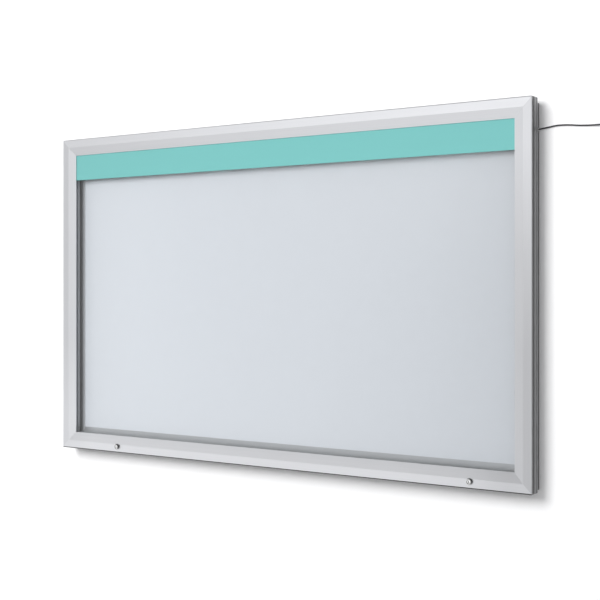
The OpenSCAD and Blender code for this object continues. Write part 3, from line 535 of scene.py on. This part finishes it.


# The top and bottom channels are painted darker than the two sides, as shade.
case_rail_satin = anodised("case_rail_satin", "x", case_sides, 0.48, case_side_shade, 0.5)
case_stile_satin = anodised("case_stile_satin", "z", case_sides, 0.68, case_side_shade, 0.5)
dress(case_rail_satin, "case_top_rail", "case_bottom_rail")
dress(case_stile_satin, "case_left_stile", "case_right_stile")


# Corner plates, hinges, tracks and strikes
# Pressed steel fittings with a bright zinc coat: flat corner plates screwed to the channel floors, rolled
# hinge leaves on steel pins, slotted tracks for the door stays, and folded strikes for the lock cams.
pin_grain = (8, 1500, 1500)
zinc = finish_of("bright_zinc", (0.55, 0.56, 0.58), (0.64, 0.65, 0.67), (0.30, 0.40), 150, 0.03, 1.0)
pin_steel = finish_of("ground_steel", (0.42, 0.42, 0.43), (0.55, 0.55, 0.56), (0.20, 0.32), pin_grain,
                      0.05, 1.0)
dress(zinc, "case_corner_plates", "hinge_case_leaves", "stay_tracks", "lock_strikes")
dress(pin_steel, "hinge_pins")


# Back panel and battens
# One sheet of steel with a smooth white enamel that holds magnets, with painted shade darkening both ends,
# slid behind the lips of the case. Three strips of foamed board between the sheet and the wall keep it flat.
enamel = finish_of("white_enamel", (0.608, 0.623, 0.661), (0.622, 0.637, 0.675), (0.30, 0.36), 60, 0.02,
                   Coat_Weight=0.15, Coat_Roughness=0.2)
foam_board = finish_of("foam_board", (0.70, 0.70, 0.68), (0.78, 0.78, 0.77), (0.75, 0.9), 900, 0.3)
dress(paint_shading(enamel, "x", (-0.82, 0.96), (-0.60, 1.0), (0.55, 1.0), (0.82, 0.955)), "back_panel")
dress(foam_board, "panel_battens")


# Case screws
# Pan-head machine screws with cross recesses in zinc-plated steel. They hold the corner plates and tracks to
# the channel floors, the hinge leaves to the top rail and the strikes to the bottom rail.
to_front, to_wall = (math.pi / 2, 0, 0.3), (-math.pi / 2, 0, 0.2)
upward, downward = (0, 0, 0.5), (math.pi, 0, 0.9)
joint_places = {joint["name"]: joint["pos_m"] for joint in frame["joints"]}
lock_xs = [joint_places[name][0] for name in ("lock_left_turn", "lock_right_turn")]
hinge_xs, hinge_screw_half, hinge_screw_y, hinge_screw_z = (-0.65, 0, 0.65), 0.0256, -0.007, 0.5405
strike_screw_half, strike_screw_y, strike_screw_z = 0.008, -0.009, -0.510
corner_x, corner_top, corner_bottom = 0.892, 0.531, -0.537
corner_screws = ((0.040, 0.011), (0.011, 0.040))
track_x, track_screw_zs = 0.8915, (-0.057, 0.19091, 0.43881)
floor_screw_y = -0.004
pan_head = {
    "head_base": 0.0035, "head_top": 0.0026, "head_height": 0.002,
    "shank_radius": 0.002, "shank_length": 0.0036, "recess": 0.0034,
}


def pattern(name, sizes, counts=()):
    """A node tree for one shape on points, and its inputs: the sizes and counts that the shape is made to."""
    tree = bpy.data.node_groups.new(name, "GeometryNodeTree")
    socket = tree.interface.new_socket
    socket(name="Points", in_out="INPUT", socket_type="NodeSocketGeometry")
    for size in sizes:
        socket(name=size, in_out="INPUT", socket_type="NodeSocketFloat")
    for count in counts:
        socket(name=count, in_out="INPUT", socket_type="NodeSocketInt")
    socket(name="Material", in_out="INPUT", socket_type="NodeSocketMaterial")
    socket(name="Pieces", in_out="OUTPUT", socket_type="NodeSocketGeometry")
    return tree, add_node(tree, "NodeGroupInput").outputs


def stamped(tree, given, shape):
    """Sets the shape on every point, turned by the point's turn attribute, as plain mesh in its material."""
    link = tree.links.new
    facing = add_node(tree, "GeometryNodeInputNamedAttribute", {"Name": "turn"}, data_type="FLOAT_VECTOR")
    spread = add_node(tree, "GeometryNodeInstanceOnPoints")
    real = add_node(tree, "GeometryNodeRealizeInstances")
    coat = add_node(tree, "GeometryNodeSetMaterial")
    out = add_node(tree, "NodeGroupOutput")
    link(given["Points"], spread.inputs["Points"])
    link(shape, spread.inputs["Instance"])
    link(facing.outputs["Attribute"], spread.inputs["Rotation"])
    link(spread.outputs[0], real.inputs[0])
    link(real.outputs[0], coat.inputs["Geometry"])
    link(given["Material"], coat.inputs["Material"])
    link(coat.outputs[0], out.inputs[0])
    return tree


def screw_tree():
    """Screws with a tapered head, a cross recess in it and a plain shank."""
    tree, given = pattern("cross_head_screws", (
        "Head Base", "Head Top", "Head Height", "Shank Radius", "Shank Length", "Recess"))
    link = tree.links.new
    slot_width, slot_depth, shank_middle = 0.24, 1.1, -0.499

    def times(socket, factor):
        """A size times a factor."""
        node = add_node(tree, "ShaderNodeMath", {1: factor}, operation="MULTIPLY")
        link(socket, node.inputs[0])
        return node.outputs[0]

    def size_of(x, y, z):
        """Three sizes as one vector."""
        node = add_node(tree, "ShaderNodeCombineXYZ")
        for part, at in zip((x, y, z), node.inputs):
            link(part, at)
        return node.outputs[0]

    def raised(mesh, height):
        """A shape moved along the screw's own axis."""
        offset = add_node(tree, "ShaderNodeCombineXYZ")
        node = add_node(tree, "GeometryNodeTransform")
        link(height, offset.inputs["Z"])
        link(mesh, node.inputs["Geometry"])
        link(offset.outputs[0], node.inputs["Translation"])
        return node.outputs[0]

    head = add_node(tree, "GeometryNodeMeshCone", {"Vertices": 20})
    link(given["Head Base"], head.inputs["Radius Bottom"])
    link(given["Head Top"], head.inputs["Radius Top"])
    link(given["Head Height"], head.inputs["Depth"])
    slot_long = given["Recess"]
    slot_wide = times(given["Recess"], slot_width)
    slot_deep = times(given["Head Height"], slot_depth)
    cut = head.outputs["Mesh"]
    for x, y in ((slot_long, slot_wide), (slot_wide, slot_long)):
        blade = add_node(tree, "GeometryNodeMeshCube")
        carve = add_node(tree, "GeometryNodeMeshBoolean", operation="DIFFERENCE", solver="EXACT")
        link(size_of(x, y, slot_deep), blade.inputs["Size"])
        link(cut, carve.inputs["Mesh 1"])
        link(raised(blade.outputs["Mesh"], given["Head Height"]), carve.inputs["Mesh 2"])
        cut = carve.outputs["Mesh"]
    shank = add_node(tree, "GeometryNodeMeshCylinder", {"Vertices": 12})
    link(given["Shank Radius"], shank.inputs["Radius"])
    link(given["Shank Length"], shank.inputs["Depth"])
    whole = add_node(tree, "GeometryNodeJoinGeometry")
    link(cut, whole.inputs[0])
    link(raised(shank.outputs["Mesh"], times(given["Shank Length"], shank_middle)), whole.inputs[0])
    return stamped(tree, given, whole.outputs[0])


def grown(name, tree, points, body, slot, *stands_for, **sizes):
    """A plain mesh piece from a node tree on points, each a place and a turn."""
    mesh = bpy.data.meshes.new(name + "_points")
    mesh.from_pydata([place for place, _ in points], [], [])
    mesh.attributes.new("turn", "FLOAT_VECTOR", "POINT")
    for at, (_, turned) in zip(mesh.attributes["turn"].data, points):
        at.vector = turned
    obj = bpy.data.objects.new(name, mesh)
    scene.collection.objects.link(obj)
    rule = obj.modifiers.new("rule", "NODES")
    rule.node_group = tree
    for item in tree.interface.items_tree:
        key = item.name.replace(" ", "_").lower()
        if item.in_out == "INPUT" and key in sizes:
            rule[item.identifier] = sizes[key]
    view = bpy.context.evaluated_depsgraph_get()
    made = bpy.data.meshes.new_from_object(obj.evaluated_get(view))
    obj.modifiers.remove(rule)
    obj.data = made
    made.name = name
    return settle(obj, sizes["material"], body, slot, *stands_for)


screws = screw_tree()
screw_zinc = finish_of("screw_zinc", (0.42, 0.43, 0.45), (0.60, 0.61, 0.63), (0.22, 0.36), 500, 0.05, 1.0)
hinge_screw_xs = [x + s * hinge_screw_half for x in hinge_xs for s in (-1, 1)]
strike_screw_xs = [x + s * strike_screw_half for x in lock_xs for s in (-1, 1)]
case_points = [((x, hinge_screw_y, hinge_screw_z), upward) for x in hinge_screw_xs]
for s in (-1, 1):
    for along, across in corner_screws:
        for z in (corner_top - across, corner_bottom + across):
            case_points.append(((s * (corner_x - along), floor_screw_y, z), to_front))
    case_points += [((s * track_x, floor_screw_y, z), to_front) for z in track_screw_zs]
case_points += [((x, strike_screw_y, strike_screw_z), downward) for x in strike_screw_xs]
grown("case_screw_set", screws, case_points, "case", "zinc_steel", "case_screws",
      material=screw_zinc, **pan_head)


# Light bar
# An aluminium channel under the top lip holds a white board of LEDs that face down, behind an opal strip,
# which is lit. Grey plastic caps close its ends, and small screws fix it through the lip.
led_pitch, led_count, window_rise = 0.040, 39, 0.0008
package_size = {"side": 0.0035, "drop": 0.0012, "corners": 4}
window_size = {"side": 0.0018, "drop": 0.0006, "corners": 16}
square_down = (math.pi, 0, math.pi / 4)
bar_screw_pitch, bar_screw_y, bar_screw_z = 0.36, -0.0171, 0.484
small_pan_head = {
    "head_base": 0.0026, "head_top": 0.0019, "head_height": 0.0015,
    "shank_radius": 0.0015, "shank_length": 0.0034, "recess": 0.0026,
}
no_outer_sides, plain_grey = (9, 9), ((front_y, 0.27), (0, 0.27))
bar_satin = anodised("light_bar_satin", "x", no_outer_sides, 0.84, plain_grey)
led_body = finish_of("led_package", (0.80, 0.80, 0.78), (0.88, 0.88, 0.86), (0.35, 0.45), 1200, 0.05)
phosphor = finish_of("led_phosphor", (0.80, 0.55, 0.06), (0.88, 0.66, 0.12), (0.25, 0.4), 1500, 0.1)
board = finish_of("led_board_white", (0.78, 0.79, 0.78), (0.84, 0.85, 0.84), (0.45, 0.55), 300, 0.05)
opal = finish_of("opal_strip", (0.84, 0.85, 0.85), (0.90, 0.91, 0.91), (0.35, 0.45), 120, 0.04,
                 Transmission_Weight=0.25, Emission_Color=(1, 1, 1, 1), Emission_Strength=2.0)
cap_grey = finish_of("cap_grey", (0.40, 0.41, 0.42), (0.46, 0.47, 0.48), (0.45, 0.6), 900, 0.15)
dress(bar_satin, "led_channel")
dress(board, "led_board")
dress(opal, "led_diffuser")
dress(cap_grey, "led_end_caps")


def package_tree():
    """Small packages, square or round by their count of corners, that taper a little as they drop."""
    tree, given = pattern("led_packages", ("Side", "Drop"), ("Corners",))
    link = tree.links.new
    end_share = 0.93
    shape = add_node(tree, "GeometryNodeMeshCone")
    narrow = add_node(tree, "ShaderNodeMath", {1: end_share}, operation="MULTIPLY")
    link(given["Corners"], shape.inputs["Vertices"])
    link(given["Side"], shape.inputs["Radius Bottom"])
    link(given["Side"], narrow.inputs[0])
    link(narrow.outputs[0], shape.inputs["Radius Top"])
    link(given["Drop"], shape.inputs["Depth"])
    return stamped(tree, given, shape.outputs["Mesh"])


chips_low, chips_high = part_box("led_chips")
led_y, led_z = (chips_low.y + chips_high.y) / 2, chips_high.z
led_xs = [(k - (led_count - 1) / 2) * led_pitch for k in range(led_count)]
package_points = [((x, led_y, led_z), square_down) for x in led_xs]
window_points = [((x, led_y, led_z - window_rise), square_down) for x in led_xs]
bar_screw_points = [((k * bar_screw_pitch, bar_screw_y, bar_screw_z), to_front) for k in (-2, -1, 0, 1, 2)]
packages = package_tree()
grown("led_packages", packages, package_points, "case", "light_board", "led_chips",
      material=led_body, **package_size)
grown("led_windows", packages, window_points, "case", "light_chip", material=phosphor, **window_size)
grown("led_screw_set", screws, bar_screw_points, "case", "zinc_steel", "led_screws",
      material=screw_zinc, **small_pan_head)


# Lead inside the case
# The same dark grey lead drops from the bar's end cap through a rubber grommet in the back panel, to a
# moulded plastic clip on the back of the sheet.
rubber = finish_of("seal_rubber", (0.012, 0.012, 0.012), (0.022, 0.022, 0.023), (0.62, 0.78), 800, 0.2)
dress(sheath, "inner_lead")
dress(rubber, "lead_grommet")
dress(moulded_black, "lead_clamp")


# Door frame
# Four hollow aluminium sections, mitred at the corners over pressed-in cast keys. The face has a flat outer
# band and a wide bevel down to the glass, all in one silver satin, with grooves along the outer sides, which
# are painted a darker grey as shade. Each length is painted its own lightness as light and shade.
# The bottom rail's lower edge carries a dark line of painted shade, and painted light and shade drift along
# each length.
door_sides = (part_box("door_right_stile")[1].x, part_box("door_top_rail")[1].z)
# The lowest few millimetres of the bottom rail's face are painted dark, as a line of shade.
bottom_shade_rim = 0.0034
# Painted shade for the door's outer sides by depth, with a dark band of painted shade near the front edge.
door_side_shade = (
    (-0.0590, 0.40), (-0.0570, 0.30), (-0.0560, 0.02), (-0.0518, 0.02), (-0.0503, 0.24), (-0.034, 0.27),
)
bottom_edge_shade = ((-0.0600, 0.03), (-0.0518, 0.02), (-0.0503, 0.23), (-0.034, 0.28))
casting = finish_of("key_casting", (0.36, 0.37, 0.38), (0.50, 0.51, 0.52), (0.5, 0.7), 350, 0.5, 1.0)
# Each length is painted its own lightness as light and shade, with more painted light and shade along it.
top_satin = anodised("door_top_satin", "x", door_sides, 0.838, door_side_shade)
bottom_satin = anodised("door_bottom_satin", "x", door_sides, 0.846, bottom_edge_shade, rim=bottom_shade_rim)
left_satin = anodised("door_left_satin", "z", door_sides, 0.740, door_side_shade)
right_satin = anodised("door_right_satin", "z", door_sides, 0.708, door_side_shade)
paint_shading(top_satin, "x", (-0.86, 0.87), (-0.30, 0.97), (0.10, 1.0), (0.86, 0.985))
paint_shading(bottom_satin, "x", (-0.88, 0.93), (-0.76, 1.0), (0.45, 0.97), (0.70, 0.92), (0.83, 0.795))
paint_shading(left_satin, "z", (-0.42, 1.0), (-0.15, 0.87), (0.15, 0.845), (0.50, 0.875))
paint_shading(right_satin, "z", (-0.45, 0.79), (-0.15, 0.76), (0.12, 0.825), (0.42, 1.0))
dress(top_satin, "door_top_rail")
dress(bottom_satin, "door_bottom_rail")
dress(left_satin, "door_left_stile")
dress(right_satin, "door_right_stile")
dress(casting, "door_corner_keys")


# Glass, seals and beads
# A single clear pane lies on blocks between grey rubber strips, held from behind by grey aluminium beads that
# clip into the frame. A faint smear varies the pane's polish, and it mirrors more the flatter it is seen. The
# beads carry painted shade, dark on the left bead and falling off towards the right.
glass = bpy.data.materials.new("clear_glass")
glass.use_nodes = True
glass_tree = glass.node_tree
glass_tree.nodes.clear()
glass_link = glass_tree.links.new
smear_levels = {"From Min": 0.4, "From Max": 0.7, "To Min": 0.01, "To Max": 0.05}
clear = add_node(glass_tree, "ShaderNodeBsdfTransparent", {"Color": (0.972, 0.980, 0.983, 1)})
polish = add_node(glass_tree, "ShaderNodeBsdfGlossy")
smear_place = add_node(glass_tree, "ShaderNodeTexCoord")
smear = add_node(glass_tree, "ShaderNodeTexNoise", {"Scale": 5.0})
smear_level = add_node(glass_tree, "ShaderNodeMapRange", smear_levels)
tilt = add_node(glass_tree, "ShaderNodeLayerWeight")
rise = add_node(glass_tree, "ShaderNodeMath", {1: 5.0}, operation="POWER")
share = add_node(glass_tree, "ShaderNodeMapRange", {"To Min": 0.04, "To Max": 1.0})
pane = add_node(glass_tree, "ShaderNodeMixShader")
glass_out = add_node(glass_tree, "ShaderNodeOutputMaterial")
glass_link(smear_place.outputs["Object"], smear.inputs["Vector"])
glass_link(smear.outputs["Fac"], smear_level.inputs["Value"])
glass_link(smear_level.outputs["Result"], polish.inputs["Roughness"])
glass_link(tilt.outputs["Facing"], rise.inputs[0])
glass_link(rise.outputs[0], share.inputs["Value"])
glass_link(share.outputs["Result"], pane.inputs[0])
glass_link(clear.outputs[0], pane.inputs[1])
glass_link(polish.outputs[0], pane.inputs[2])
glass_link(pane.outputs[0], glass_out.inputs["Surface"])
bead_satin = finish_of("bead_satin", (0.58, 0.59, 0.60), (0.64, 0.65, 0.66), (0.38, 0.5), 300, 0.05, 1.0)
grey_seal = finish_of("grey_seal", (0.40, 0.41, 0.42), (0.46, 0.47, 0.48), (0.5, 0.65), 800, 0.1)
dress(glass, "glass_pane")
dress(paint_shading(bead_satin, "x", (-0.8475, 0.62), (-0.84, 1.0), (0.85, 0.64)), "glazing_beads")
dress(grey_seal, "front_glazing_seals", "rear_glazing_seals")
dress(rubber, "setting_blocks", "door_seals")


# Header panel
# A strip of sheet metal in a sea-green satin paint, with painted shade making it deeper to the left, which
# evens out the lamp's falloff. It lies in the groove between the frame and the top of the glass, and hides
# the light bar behind it.
sea_green = finish_of("header_sea_green", (0.181, 0.514, 0.499), (0.188, 0.529, 0.514), (0.40, 0.48),
                      500, 0.06)
dress(paint_shading(sea_green, "x", (-0.83, 0.775), (0.83, 1.0)), "header_panel")


# Door hinge leaves, stay lugs and their screws
# The door's leaves and the lugs of the stays are pressed zinc-plated steel, fixed to the back of the frame by
# flush cross-head screws. The lugs' pivots are shouldered steel rivets.
door_screw_y, leaf_screw_z = -0.0232, 0.5455
lug_screw_x, lug_z, lug_screw_half = 0.86825, joint_places["stay_left_turn"][2], 0.018
flush_head = {
    "head_base": 0.0024, "head_top": 0.003, "head_height": 0.0008,
    "shank_radius": 0.0015, "shank_length": 0.0056, "recess": 0.0034,
}
dress(zinc, "hinge_door_leaves", "stay_lugs")
dress(pin_steel, "stay_pivots")
door_points = [((x, door_screw_y, leaf_screw_z), to_wall) for x in hinge_screw_xs]
for s in (-1, 1):
    for z in (lug_z - lug_screw_half, lug_z + lug_screw_half):
        door_points.append(((s * lug_screw_x, door_screw_y, z), to_wall))
grown("door_screw_set", screws, door_points, "door", "zinc_steel", "door_screws",
      material=screw_zinc, **flush_head)


# Door stays
# Flat zinc-plated arms. Each turns on its lug and carries a black runner, whose pin slides in the slot of the
# track and whose friction washer holds the door where it is left.
arm_grain = (900, 900, 10)
arm_zinc = finish_of("arm_zinc", (0.48, 0.49, 0.51), (0.62, 0.63, 0.65), (0.26, 0.42), arm_grain, 0.06, 1.0)
runner_black = finish_of("runner_black", (0.014, 0.014, 0.015), (0.024, 0.024, 0.025), (0.3, 0.45), 900, 0.1)
for side in ("left", "right"):
    dress(arm_zinc, f"stay_arm_{side}")
    dress(runner_black, f"stay_runner_{side}")


# Locks
# Two cam locks in polished nickel go through the bottom rail. A turned collar stands proud of the face round
# a plug with an upright keyway. Behind the door a hexagon nut holds the body, and a bolt holds the flat
# steel cam.
lock_z = joint_places["lock_left_turn"][2]
foot_r, ring_mid_r, dome_r, rim_t, dome_t = 0.010, 0.0065, 0.0035, 0.0030, 0.0040
bore_r, body_r, plug_r, body_back = 0.00556, 0.007, 0.0055, -0.0405
key_half_w, key_half_h, key_proud, key_depth = 0.0008, 0.0035, 0.008, 0.006
drive_half, drive_front, drive_back = 0.0035, -0.0197, -0.0170
nickel = finish_of("polished_nickel", (0.79, 0.795, 0.80), (0.85, 0.855, 0.86), (0.06, 0.10), 700, 0.02, 1.0)
collar = [(foot_r, 0)]
for angle in range(0, 91, 6):
    a = math.radians(angle)
    collar.append((ring_mid_r + dome_r * math.cos(a), rim_t + dome_t * math.sin(a)))
collar += [(0.0059, 0.0070), (bore_r, 0.0067), (bore_r, body_back), (body_r, body_back), (body_r, 0)]
plug_profile = [
    (0, 0.0065), (0.0046, 0.0065), (0.0052, 0.0062), (plug_r, 0.0057), (plug_r, body_back), (0, body_back),
]
collars = bmesh.new()
for x in lock_xs:
    turn(collars, collar, (x, front_y, lock_z), (0, -1, 0), steps=56, ring=True)
piece("lock_collars", collars, nickel, "door", "bright_steel", "lock_housings")
for side, x in zip(("left", "right"), lock_xs):
    core = bmesh.new()
    turn(core, plug_profile, (x, front_y, lock_z), (0, -1, 0), steps=48)
    key_plug = piece("key_plug_" + side, core, nickel, "lock_" + side, "bright_steel", "lock_plug_" + side)
    blade = bmesh.new()
    box(blade, (x - key_half_w, front_y - key_proud, lock_z - key_half_h),
        (x + key_half_w, front_y + key_depth, lock_z + key_half_h))
    blade_mesh = bpy.data.meshes.new("key_blade")
    blade.to_mesh(blade_mesh)
    blade.free()
    cutter = bpy.data.objects.new("key_blade", blade_mesh)
    scene.collection.objects.link(cutter)
    keyway = key_plug.modifiers.new("keyway", "BOOLEAN")
    keyway.object = cutter
    keyway.operation = "DIFFERENCE"
    keyway.solver = "EXACT"
    made = bpy.data.meshes.new_from_object(key_plug.evaluated_get(bpy.context.evaluated_depsgraph_get()))
    key_plug.modifiers.remove(keyway)
    bpy.data.objects.remove(cutter)
    drive = bmesh.new()
    drive.from_mesh(made)
    box(drive, (x - drive_half, drive_front, lock_z - drive_half),
        (x + drive_half, drive_back, lock_z + drive_half))
    drive.to_mesh(made)
    drive.free()
    key_plug.data = made
    dress(zinc, f"lock_cam_{side}", f"lock_bolt_{side}")
dress(zinc, "lock_nuts")
